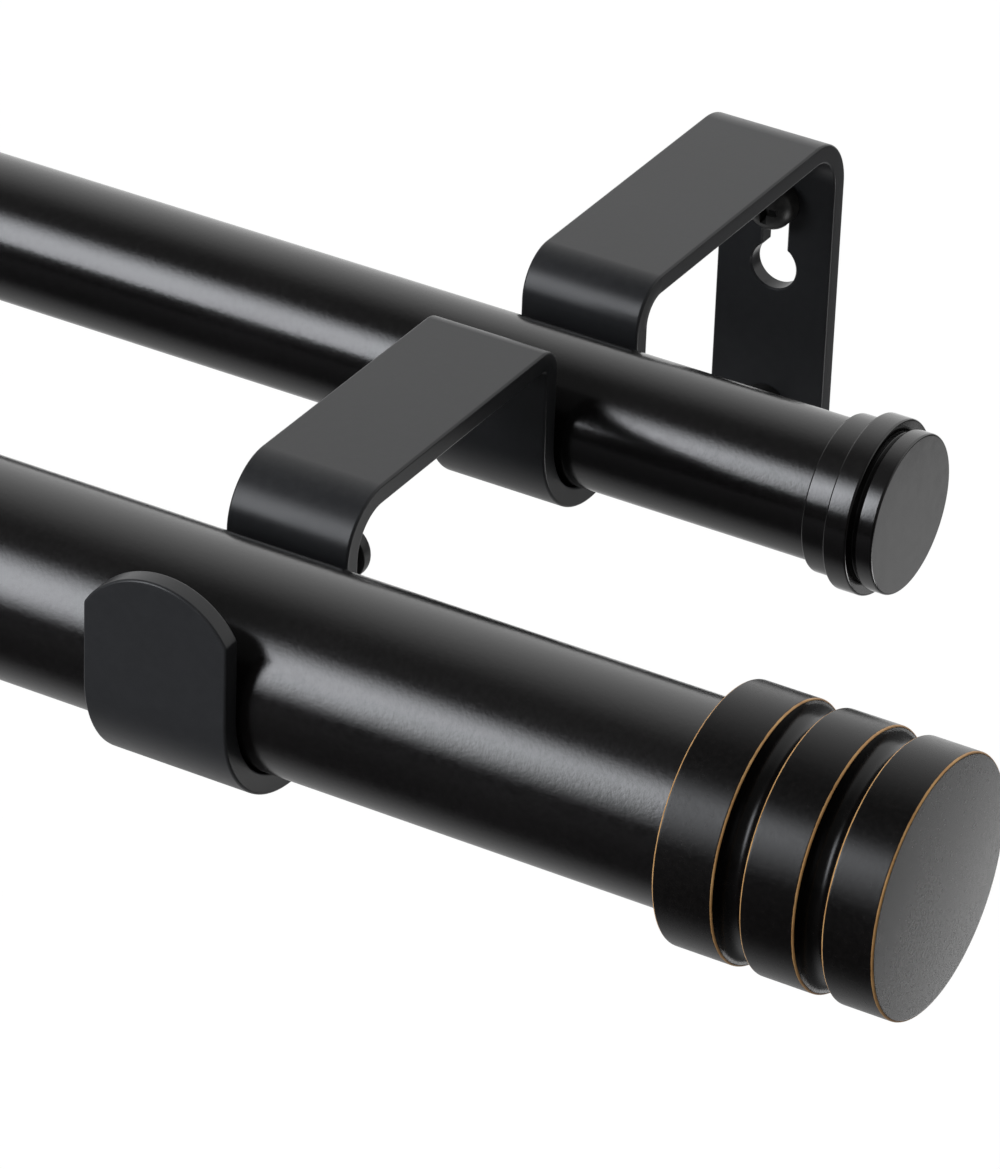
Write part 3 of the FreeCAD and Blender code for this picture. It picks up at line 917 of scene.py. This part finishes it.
def strap_corners():
    """Corners of the strap's middle line in (y, z), from the wall plate to the tongue."""
    s = sizes()
    half = s.strap_thickness / 2
    front_y = axis_of("front_wide_tube")[0]
    back_y, back_z = axis_of("back_wide_tube")
    back_turn = radius_of("back_wide_tube") + s.back_cradle_play + half
    front_turn = radius_of("front_wide_tube") + s.front_cradle_play + half
    back_floor = back_z + s.back_cradle_play - s.cradle_gap - back_turn
    front_floor = s.front_cradle_play - s.cradle_gap - front_turn
    rear_arm = s.rear_arm_top - half
    front_arm = s.front_arm_top - half
    corners = [
        (-half, s.plate_bottom),
        (-half, rear_arm),
        (back_y + back_turn, rear_arm),
        (back_y + back_turn, back_floor),
        (back_y - back_turn, back_floor),
        (back_y - back_turn, front_arm),
        (front_y + front_turn, front_arm),
        (front_y + front_turn, front_floor),
        (front_y - front_turn, front_floor),
        (front_y - front_turn, s.tongue_side_top + s.tongue_arch),
    ]
    radii = [
        s.wall_bend + half, s.rear_arm_bend + half, back_turn, back_turn,
        s.riser_bend + half, s.front_arm_bend + half, front_turn, front_turn,
    ]
    return corners, radii


def tongue_outline():
    """(height, half width) along the tongue's top, from its straight sides to its tip."""
    s = sizes()
    half, rise = s.cradle_width / 2, s.tongue_arch
    arch = (half * half + rise * rise) / (2 * rise)
    middle = s.tongue_side_top + rise - arch
    rounding = s.tongue_corner
    corner_x = half - rounding
    corner_z = middle + math.sqrt((arch - rounding) ** 2 - corner_x**2)
    turn = math.atan2(corner_z - middle, corner_x)
    corner = arc(corner_x, corner_z, rounding, 0, turn, steps=8)
    top = arc(0, middle, arch, turn, math.pi / 2 - turn, steps=40)
    tip = (0.0, top[-1][1])
    return [(level, half) for half, level in corner + top[1:-1] + [tip]]


def strap_outline(route):
    """(length, half width) along the flat strap before it is bent."""
    s = sizes()
    narrow, wide = s.strap_width / 2, s.cradle_width / 2
    joint = sum(part_length(part) for part in route[:-3])
    stations = []
    start = 0.0
    for part in route[:-1]:
        size = part_length(part)
        count = 1 if part[0] == "run" else BEND_STEPS
        stations += [start + size * k / count for k in range(count)]
        start += size
    rounding = s.plate_corner
    turns = [math.pi / 2 * k / CORNER_STEPS for k in range(CORNER_STEPS + 1)]
    corner = [rounding * (1 - math.cos(turn)) for turn in turns]
    shoulder = [joint + s.shoulder_length * k / SHOULDER_STEPS for k in range(SHOULDER_STEPS + 4)]
    stations = sorted(stations[1:] + corner + shoulder)
    stations = [a for a, b in zip(stations, stations[1:] + [start]) if b - a > STATION_GAP]
    outline = []
    for x in stations:
        if x <= rounding:
            half = narrow - rounding + math.sqrt(max(rounding * rounding - (rounding - x) ** 2, 0.0))
        elif x <= joint:
            half = narrow
        else:
            drop = along(route, joint)[0].y - along(route, x)[0].y
            past_shoulder = x > joint + s.shoulder_length * 1.5
            share = 1.0 if past_shoulder else min(drop / s.shoulder_length, 1.0)
            half = narrow + (wide - narrow) * share
        outline.append((x, half))
    floor = route[-1][1].y
    outline.append((start, wide))
    outline += [(start + height - floor, half) for height, half in tongue_outline()]
    return outline


def edge_band(thickness, edge, steps=4):
    """(inset, level) of the strap's rounded edge, from its top to its underside."""
    top = []
    for k in range(steps + 1):
        angle = math.pi / 2 * k / steps
        top.append((edge * (1 - math.sin(angle)), thickness / 2 - edge * (1 - math.cos(angle))))
    return top + [(inset, -level) for inset, level in reversed(top)]


def outward(points):
    """Outward directions along a closed outline that runs anticlockwise."""
    found = []
    count = len(points)
    for i in range(count):
        a, b = Vector(points[i - 1]), Vector(points[(i + 1) % count])
        run = (b - a).normalized()
        found.append(Vector((run.y, -run.x)))
    return found


def bent_strap(name, x_middle, lift):
    """Cut the strap's outline flat, round its edge and bend it along the route."""
    s = sizes()
    route = bent_route(*strap_corners())
    outline = strap_outline(route)
    count = len(outline)
    left = [(x, -half) for x, half in reversed(outline[:-1])]
    ring = (outline + left)[::-1]
    out = outward(ring)
    band = edge_band(s.strap_thickness, s.strap_edge)
    bm = bmesh.new()
    rings = []
    for inset, level in band:
        made = []
        for (x, side), away in zip(ring, out):
            flat_x, flat_side = x - away.x * inset, side - away.y * inset
            point, direction = along(route, flat_x)
            y = point.x - direction.y * level
            z = point.y + direction.x * level
            made.append(bm.verts.new((x_middle + flat_side, y, z + lift)))
        rings.append(made)
    for a, b in zip(rings, rings[1:]):
        join_rings(bm, a, b)
    # Each ring runs down one side of the strap and back up the other
    for made in (rings[0], rings[-1]):
        lower = made[: count - 1]
        upper = made[count - 1 :]
        sides = list(zip(lower, reversed(upper)))
        tip = upper[0]
        for (a, b), (c, d) in zip(sides, sides[1:]):
            bm.faces.new((a, b, d, c))
        bm.faces.new((sides[-1][0], sides[-1][1], tip))
    return new_piece(name, bm)


def circle(radius, x, z, steps=48):
    """Outline of a round hole, anticlockwise seen from the front."""
    return arc(x, z, radius, 0, 2 * math.pi, steps)[:-1]


def keyhole(x):
    """Outline of the keyhole, anticlockwise seen from the front."""
    s = sizes()
    slot, big = s.keyhole_slot / 2, s.keyhole_round / 2
    low = s.keyhole_level - s.keyhole_drop
    meet = math.acos(slot / big)
    start, end = math.pi - meet, 2 * math.pi + meet
    narrow_end = arc(x, s.keyhole_level, slot, 0, math.pi, steps=24)
    return narrow_end + arc(x, low, big, start, end - start, steps=44)


def hole_cutter(outline, front, back):
    """A cutter through the strap with a small chamfer at each face."""
    chamfer = sizes().hole_edge
    over = 0.1 * MM
    out = outward(outline)
    loops = []
    for y, grow in (
        (front - over, chamfer + over),
        (front + chamfer, 0.0),
        (back - chamfer, 0.0),
        (back + over, chamfer + over),
    ):
        loops.append([(p[0] + d.x * grow, y, p[1] + d.y * grow) for p, d in zip(outline, out)])
    return loft("hole cutter", loops)


def draw_bracket(name):
    """One bracket: the bent strap with its keyhole and round holes."""
    s = sizes()
    node = "bracket_" + name
    low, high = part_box(node)
    x = (low.x + high.x) / 2
    lift = low.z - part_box("bracket_right")[0].z
    piece = bent_strap(node + "_look", x, lift)

    drop = axis_of("front_wide_tube")[0] + radius_of("front_wide_tube") + s.front_cradle_play
    for outline, front in (
        (keyhole(x), -s.strap_thickness),
        (circle(s.lower_hole / 2, x, s.lower_hole_level), -s.strap_thickness),
        (circle(s.lock_hole / 2, x, 0.0), drop),
    ):
        raised = [(a, b + lift) for a, b in outline]
        cut(piece, hole_cutter(raised, front, front + s.strap_thickness))
    settle(piece, node, "bracket_paint")


class CURTAINPOLE_OT_brackets(bpy.types.Operator):
    """Draw the two bent strap brackets"""

    bl_idname = "curtain_pole.brackets"
    bl_label = "Brackets"

    def execute(self, context):
        for name in SIDES:
            draw_bracket(name)
        return {"FINISHED"}


# Screws


WALL_THREAD = 0.55 * MM     # depth of a thread
LOCK_THREAD = 0.36 * MM
THREAD_FLAT = 0.15          # share of the slope left flat at the root, and at the crest
TURN_STATIONS = 9           # stations along one turn of a thread


def screw_body(name, stations, pitch, depth, x, z, steps=40):
    """Rings along Y from (y, radius, thread share) stations, with a helical thread."""
    bm = bmesh.new()
    rings = []
    for y, radius, share in stations:
        ring = []
        for i in range(steps if radius > TINY else 1):
            angle = 2 * math.pi * i / steps
            phase = (y / pitch - i / steps) % 1.0
            height = abs(phase * 2 - 1)
            crest = min(max((height - THREAD_FLAT) / (1 - 2 * THREAD_FLAT), 0.0), 1.0)
            r = radius - depth * share * (1 - crest)
            ring.append(bm.verts.new((x + r * math.cos(angle), y, z + r * math.sin(angle))))
        rings.append(ring)
    for a, b in zip(rings, rings[1:]):
        join_rings(bm, a, b)
    return new_piece(name, bm, sharp=50)


def thread_run(y_start, y_end, radius, pitch, lead_in, lead_out):
    """Closely spaced stations of a thread, faded at its ends."""
    count = max(int(abs(y_end - y_start) / (pitch / TURN_STATIONS)), 4)
    run = []
    for k in range(count + 1):
        share = k / count
        y = y_start + (y_end - y_start) * share
        amount = min(abs(y - y_start) / lead_in, 1.0)
        if lead_out:
            amount = min(amount, abs(y_end - y) / lead_out)
        run.append((y, radius, amount))
    return run


def head_stations(seat, direction, radius, height):
    """Stations of a pan head from its flat underside to the middle of its dome."""
    edge = RIM_EDGE
    stations = [(seat, radius - edge, 0), (seat + direction * edge, radius, 0)]
    rim = height * 0.45
    stations.append((seat + direction * rim, radius, 0))
    crown = radius * 0.25
    steps = 12
    for k in range(1, steps + 1):
        angle = math.pi / 2 * k / steps
        r = crown + (radius - crown) * math.cos(angle)
        stations.append((seat + direction * (rim + (height - rim) * math.sin(angle)), r, 0))
    stations.append((seat + direction * height, 0.0, 0))
    return stations


def cross_cutter(top, inward, x, z):
    """A tapered cross that sinks into a screw's head."""
    s = sizes()
    arm, half = s.recess_length / 2, s.recess_width / 2
    shape = [
        (arm, -half), (arm, half), (half, half), (half, arm), (-half, arm), (-half, half),
        (-arm, half), (-arm, -half), (-half, -half), (-half, -arm), (half, -arm), (half, -half),
    ]
    over = 0.3 * MM
    loops = []
    for depth, scale in ((-over, 1.0), (s.recess_depth * 0.35, 0.92), (s.recess_depth, 0.52)):
        loops.append([(x + a * scale, top + inward * depth, z + b * scale) for a, b in shape])
    return loft("cross cutter", loops)


def draw_screw(node, stations, pitch, depth, top, inward):
    """Draw a screw from its stations, with the cross recess in its head."""
    low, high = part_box(node)
    x, z = (low.x + high.x) / 2, (low.z + high.z) / 2
    piece = screw_body(node + "_look", stations, pitch, depth, x, z)
    cut(piece, cross_cutter(top, inward, x, z))
    settle(piece, node, "screw_black")


def draw_wall_screw(level, name):
    """Pan head on the plate's front, threaded shank and point in the wall."""
    s = sizes()
    node = "wall_screw_%s_%s" % (level, name)
    low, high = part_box(node)
    seat = -s.strap_thickness
    radius = s.wall_screw / 2
    head = head_stations(seat, -1, s.wall_head / 2, s.wall_head_height)[::-1]
    neck_end, thread_end = 1.0 * MM, high.y - s.wall_tip
    thread_start = neck_end + 0.05 * MM
    lead = 2 * MM
    neck = [(seat, radius, 0), (neck_end, radius, 0)]
    thread = thread_run(thread_start, thread_end, radius, s.wall_pitch, lead, 0)
    tip = []
    steps = 30
    for k in range(1, steps + 1):
        share = k / steps
        thin = max(radius * (1 - share * 0.93), 0.1 * MM)
        tip.append((thread_end + s.wall_tip * share, thin, 1 - share * 0.7))
    stations = head + neck + thread + tip + [(high.y, 0.0, 0)]
    draw_screw(node, stations, s.wall_pitch, WALL_THREAD, low.y, 1)


def draw_lock_screw(name):
    """Locking screw behind the front pole, with its head towards the wall."""
    s = sizes()
    node = "lock_screw_" + name
    low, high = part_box(node)
    radius = s.lock_screw / 2
    seat = high.y - s.lock_head_height
    chamfer = radius / 4
    lead = 0.6 * MM
    thread_start, thread_end = low.y + chamfer * 1.1, seat - 0.4 * MM
    stations = [(low.y, 0.0, 0), (low.y, radius - chamfer - 0.1 * MM, 0)]
    stations += [(low.y + chamfer, radius, 0.3)]
    stations += thread_run(thread_start, thread_end, radius, s.lock_pitch, lead, lead)
    stations += [(seat, radius, 0)]
    stations += head_stations(seat, 1, s.lock_head / 2, s.lock_head_height)
    draw_screw(node, stations, s.lock_pitch, LOCK_THREAD, high.y, -1)


class CURTAINPOLE_OT_screws(bpy.types.Operator):
    """Draw the wall screws and the locking screws"""

    bl_idname = "curtain_pole.screws"
    bl_label = "Screws"

    def execute(self, context):
        for name in SIDES:
            for level in ("upper", "lower"):
                draw_wall_screw(level, name)
            draw_lock_screw(name)
        return {"FINISHED"}


class CURTAINPOLE_OT_inserts(bpy.types.Operator):
    """Finish the plastic inserts that hold the finials and caps"""

    bl_idname = "curtain_pole.inserts"
    bl_label = "Inserts"

    def execute(self, context):
        material = plastic_black()
        for pole in ("front", "back"):
            for name in SIDES:
                node = frame["nodes"]["%s_insert_%s" % (pole, name)]
                if not node.material_slots:
                    raise RuntimeError("no material slot on " + node.name)
                for slot in node.material_slots:
                    slot.material = material
        return {"FINISHED"}


# Stage


FLOOR_DROP = 0.30           # floor below the lowest point of the piece
FLOOR_SIZE = 12.0
WHITE = (1.0, 1.0, 1.0)
WORLD_LIGHT = 0.30          # what the world adds to matte surfaces
PAPER_WHITE = 1.015         # glow that shows as white, with the paper's own shade
PAPER_SHOWN = 0.985         # share of that glow; the rest keeps the piece's shadow
PAPER_BACK = (-0.34, 0.06)  # y over which the paper goes from its painted shade to its pale colour
PAPER_RIGHT = (0.42, 0.60)  # x over which it goes back to a tenth of that
PAPER_PAINTED_SHADE = 0.05         # share of its pale colour that the paper keeps in its painted shade
NEAR_LOSS = 0.56            # painted shade: glow that the mirrored paper lacks near the piece
PAPER_NEAR = (0.05, 0.45)   # y over which it gets that back
SKY_RISE = (-0.15, 0.85)    # a direction's y over which the mirrored world brightens
SKY_MIRRORED = (0.12, 1.15)
LIT_SPOT = Vector((0.40, -0.12, 0.0))
FRONT_PLACE = Vector((-0.82, -1.81, 0.87))
FRONT_SIZE = (1.26, 2.4)
FRONT_FADE = (0.19, 0.42)
FRONT_COLOUR = (0.93, 0.955, 1.0)
FILL_PLACE = Vector((-0.10, -1.25, 0.10))
FILL_SIZE = (1.1, 0.12)
CARDS = (
    # name, place, share of the cards' power, roll
    ("Finial card", Vector((0.530, -0.018, -0.088)), 1.0, math.radians(-38.7)),
    ("Cap card", Vector((0.500, 0.038, -0.078)), 0.15, 0.0),
)
CARD_SIZE = (0.060, 0.060)
CARD_WAY = Vector((-0.1, 0, 0))    # from a card towards the ends that it lights


def softbox(name, place, aim, size, power, roll=0.0):
    """A rectangular lamp that faces its aim, turned by roll about that line."""
    lamp = bpy.data.lights.new(name, "AREA")
    lamp.shape = "RECTANGLE"
    lamp.size, lamp.size_y = size
    lamp.energy = power
    box = bpy.data.objects.new(name, lamp)
    box.location = place
    facing = (aim - place).to_track_quat("-Z", "Y")
    box.rotation_euler = (facing @ Quaternion((0, 0, 1), roll)).to_euler()
    bpy.context.scene.collection.objects.link(box)
    return box


def soften(box, side, end):
    """Let a softbox fade towards its edges; side and end are shares of its width and height."""
    lamp = box.data
    lamp.use_nodes = True
    tree = lamp.node_tree
    tree.nodes.clear()
    parts = add(tree, "SeparateXYZ", Vector=add(tree, "NewGeometry").outputs["Parametric"])
    strength = 1.0
    for axis, reach in (("X", side), ("Y", end)):
        near = ramp(tree, parts.outputs[axis], 0.0, reach)
        far = ramp(tree, parts.outputs[axis], 1.0 - reach, 1.0, 1.0, 0.0)
        strength = times(tree, strength, times(tree, near, far))
    glow = add(tree, "Emission", Strength=strength)
    add(tree, "OutputLight", Surface=glow.outputs[0])


def light_room():
    """A pale world: plain white to the eye, softer where it lights the piece."""
    world = bpy.data.worlds.new("Studio")
    bpy.context.scene.world = world
    world.use_nodes = True
    tree = world.node_tree
    tree.nodes.clear()
    path = add(tree, "LightPath")
    parts = add(tree, "SeparateXYZ", Vector=add(tree, "TexCoord").outputs["Generated"])
    glossy = path.outputs["Is Glossy Ray"]
    mirrored = ramp(tree, parts.outputs["Y"], *SKY_RISE, *SKY_MIRRORED)
    lit = times(tree, minus(tree, 1.0, glossy), WORLD_LIGHT)
    shown = plus(tree, lit, times(tree, glossy, mirrored))
    seen = larger(tree, path.outputs["Is Camera Ray"], path.outputs["Is Transmission Ray"])
    strength = plus(tree, times(tree, shown, minus(tree, 1.0, seen)), seen)
    back = add(tree, "Background", Color=WHITE, Strength=strength)
    add(tree, "OutputWorld", Surface=back.outputs[0])


def floor_paper():
    """Pale paper, white to the eye; painted shade in front of the piece and to its right makes it
    light the piece less from there.
    """
    material, tree, shader, place = start_material("Floor paper")
    skin = use_group(tree, paint_grain(), place, Grain_Scale=900.0, Mottle_Scale=60.0)
    pale = tuple(finish().floor)
    parts = add(tree, "SeparateXYZ", Vector=place)
    # Painted shade: the paper's colour and its mirrored glow are darkened in front of the piece and
    # to its right
    behind = ramp(tree, parts.outputs["Y"], *PAPER_BACK)
    clear_of_painted_shade = times(tree, behind, ramp(tree, parts.outputs["X"], *PAPER_RIGHT, 1.0, 0.1))
    colour = blend_colours(tree, clear_of_painted_shade, tuple(c * PAPER_PAINTED_SHADE for c in pale), pale)
    dull = ramp(tree, skin.outputs["Tone"], 0.0, 1.0, 0.85, 0.95)
    feed(tree, shader, Base_Color=colour, Roughness=dull, Specular_IOR_Level=0.2)
    add_bump(tree, shader, skin.outputs["Height"], 0.00002)
    path = add(tree, "LightPath")
    glossy = path.outputs["Is Glossy Ray"]
    # Painted shade in the mirrored glow, which is weaker near the piece
    near = ramp(tree, parts.outputs["Y"], *PAPER_NEAR, NEAR_LOSS, 0.0)
    strength = minus(tree, PAPER_WHITE, times(tree, glossy, near))
    glow = add(tree, "Emission", Color=WHITE, Strength=strength)
    seen = larger(tree, path.outputs["Is Camera Ray"], path.outputs["Is Transmission Ray"])
    shown = larger(tree, times(tree, seen, PAPER_SHOWN), times(tree, glossy, clear_of_painted_shade))
    mix = add(tree, "MixShader", Fac=shown)
    tree.links.new(shader.outputs[0], mix.inputs[1])
    tree.links.new(glow.outputs[0], mix.inputs[2])
    out = next(n for n in tree.nodes if n.type == "OUTPUT_MATERIAL")
    feed(tree, out, Surface=mix.outputs[0])
    return material


def lay_floor(level):
    """The paper floor, at a level under the piece."""
    bm = bmesh.new()
    bmesh.ops.create_grid(bm, x_segments=8, y_segments=8, size=FLOOR_SIZE)
    mesh = bpy.data.meshes.new("Floor")
    bm.to_mesh(mesh)
    bm.free()
    floor = bpy.data.objects.new("Floor", mesh)
    floor.location = (0, 0, level)
    mesh.materials.append(floor_paper())
    bpy.context.scene.collection.objects.link(floor)
    floor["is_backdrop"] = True


def stand_camera():
    """The camera, from the place and angles that are set in the sidebar."""
    view = bpy.context.scene.curtain_pole_view
    data = bpy.data.cameras.new("Camera")
    data.sensor_width = 36.0
    data.lens = view.lens
    data.clip_start, data.clip_end = 0.05, 60.0
    camera = bpy.data.objects.new("Camera", data)
    swing = Matrix.Rotation(view.azimuth, 4, "Z")
    tilt = Matrix.Rotation(math.pi / 2 - view.elevation, 4, "X")
    roll = Matrix.Rotation(view.roll, 4, "Z")
    camera.matrix_world = Matrix.Translation(view.place) @ (swing @ tilt) @ roll
    bpy.context.scene.collection.objects.link(camera)
    bpy.context.scene.camera = camera


class CURTAINPOLE_OT_stage(bpy.types.Operator):
    """Set up the floor, the soft studio light and the camera"""

    bl_idname = "curtain_pole.stage"
    bl_label = "Stage"

    def execute(self, context):
        view = context.scene.curtain_pole_view
        context.scene.view_settings.view_transform = "Standard"
        lay_floor(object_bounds()[0].z - FLOOR_DROP)
        light_room()
        front = softbox("Front softbox", FRONT_PLACE, LIT_SPOT, FRONT_SIZE, view.front_power)
        front.data.color = FRONT_COLOUR
        soften(front, *FRONT_FADE)
        fill = softbox("Level fill", FILL_PLACE, LIT_SPOT, FILL_SIZE, view.fill_power)
        fill.visible_glossy = False
        for name, place, share, roll in CARDS:
            power = view.card_power * share
            card = softbox(name, place, place + CARD_WAY, CARD_SIZE, power, roll)
            card.visible_camera = False
        stand_camera()
        return {"FINISHED"}


# Panel and start


SETTINGS = {
    "curtain_pole_finish": CurtainPoleFinish,
    "curtain_pole_sizes": CurtainPoleSizes,
    "curtain_pole_view": CurtainPoleView,
}
PIECES = (
    CURTAINPOLE_OT_tubes,
    CURTAINPOLE_OT_finials,
    CURTAINPOLE_OT_caps,
    CURTAINPOLE_OT_brackets,
    CURTAINPOLE_OT_screws,
    CURTAINPOLE_OT_inserts,
    CURTAINPOLE_OT_stage,
)


class CURTAINPOLE_PT_pieces(bpy.types.Panel):
    """Buttons for the pieces of the curtain pole"""

    bl_idname = "CURTAINPOLE_PT_pieces"
    bl_label = "Double Curtain Pole"
    bl_space_type = "VIEW_3D"
    bl_region_type = "UI"
    bl_category = "Curtain Pole"

    def draw(self, context):
        column = self.layout.column()
        for operator in PIECES:
            column.operator(operator.bl_idname)
        for group_name in SETTINGS:
            settings = getattr(context.scene, group_name)
            for name in settings.__annotations__:
                column.prop(settings, name)


CLASSES = (*SETTINGS.values(), *PIECES, CURTAINPOLE_PT_pieces)


def register():
    for cls in CLASSES:
        bpy.utils.register_class(cls)
    for name, settings in SETTINGS.items():
        setattr(bpy.types.Scene, name, PointerProperty(type=settings))


def unregister():
    for name in SETTINGS:
        delattr(bpy.types.Scene, name)
    for cls in reversed(CLASSES):
        bpy.utils.unregister_class(cls)


def main():
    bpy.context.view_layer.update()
    register()
    bpy.ops.curtain_pole.tubes()
    bpy.ops.curtain_pole.finials()
    bpy.ops.curtain_pole.caps()
    bpy.ops.curtain_pole.brackets()
    bpy.ops.curtain_pole.screws()
    bpy.ops.curtain_pole.inserts()
    bpy.ops.curtain_pole.stage()


if __name__ == "__main__":
    main()
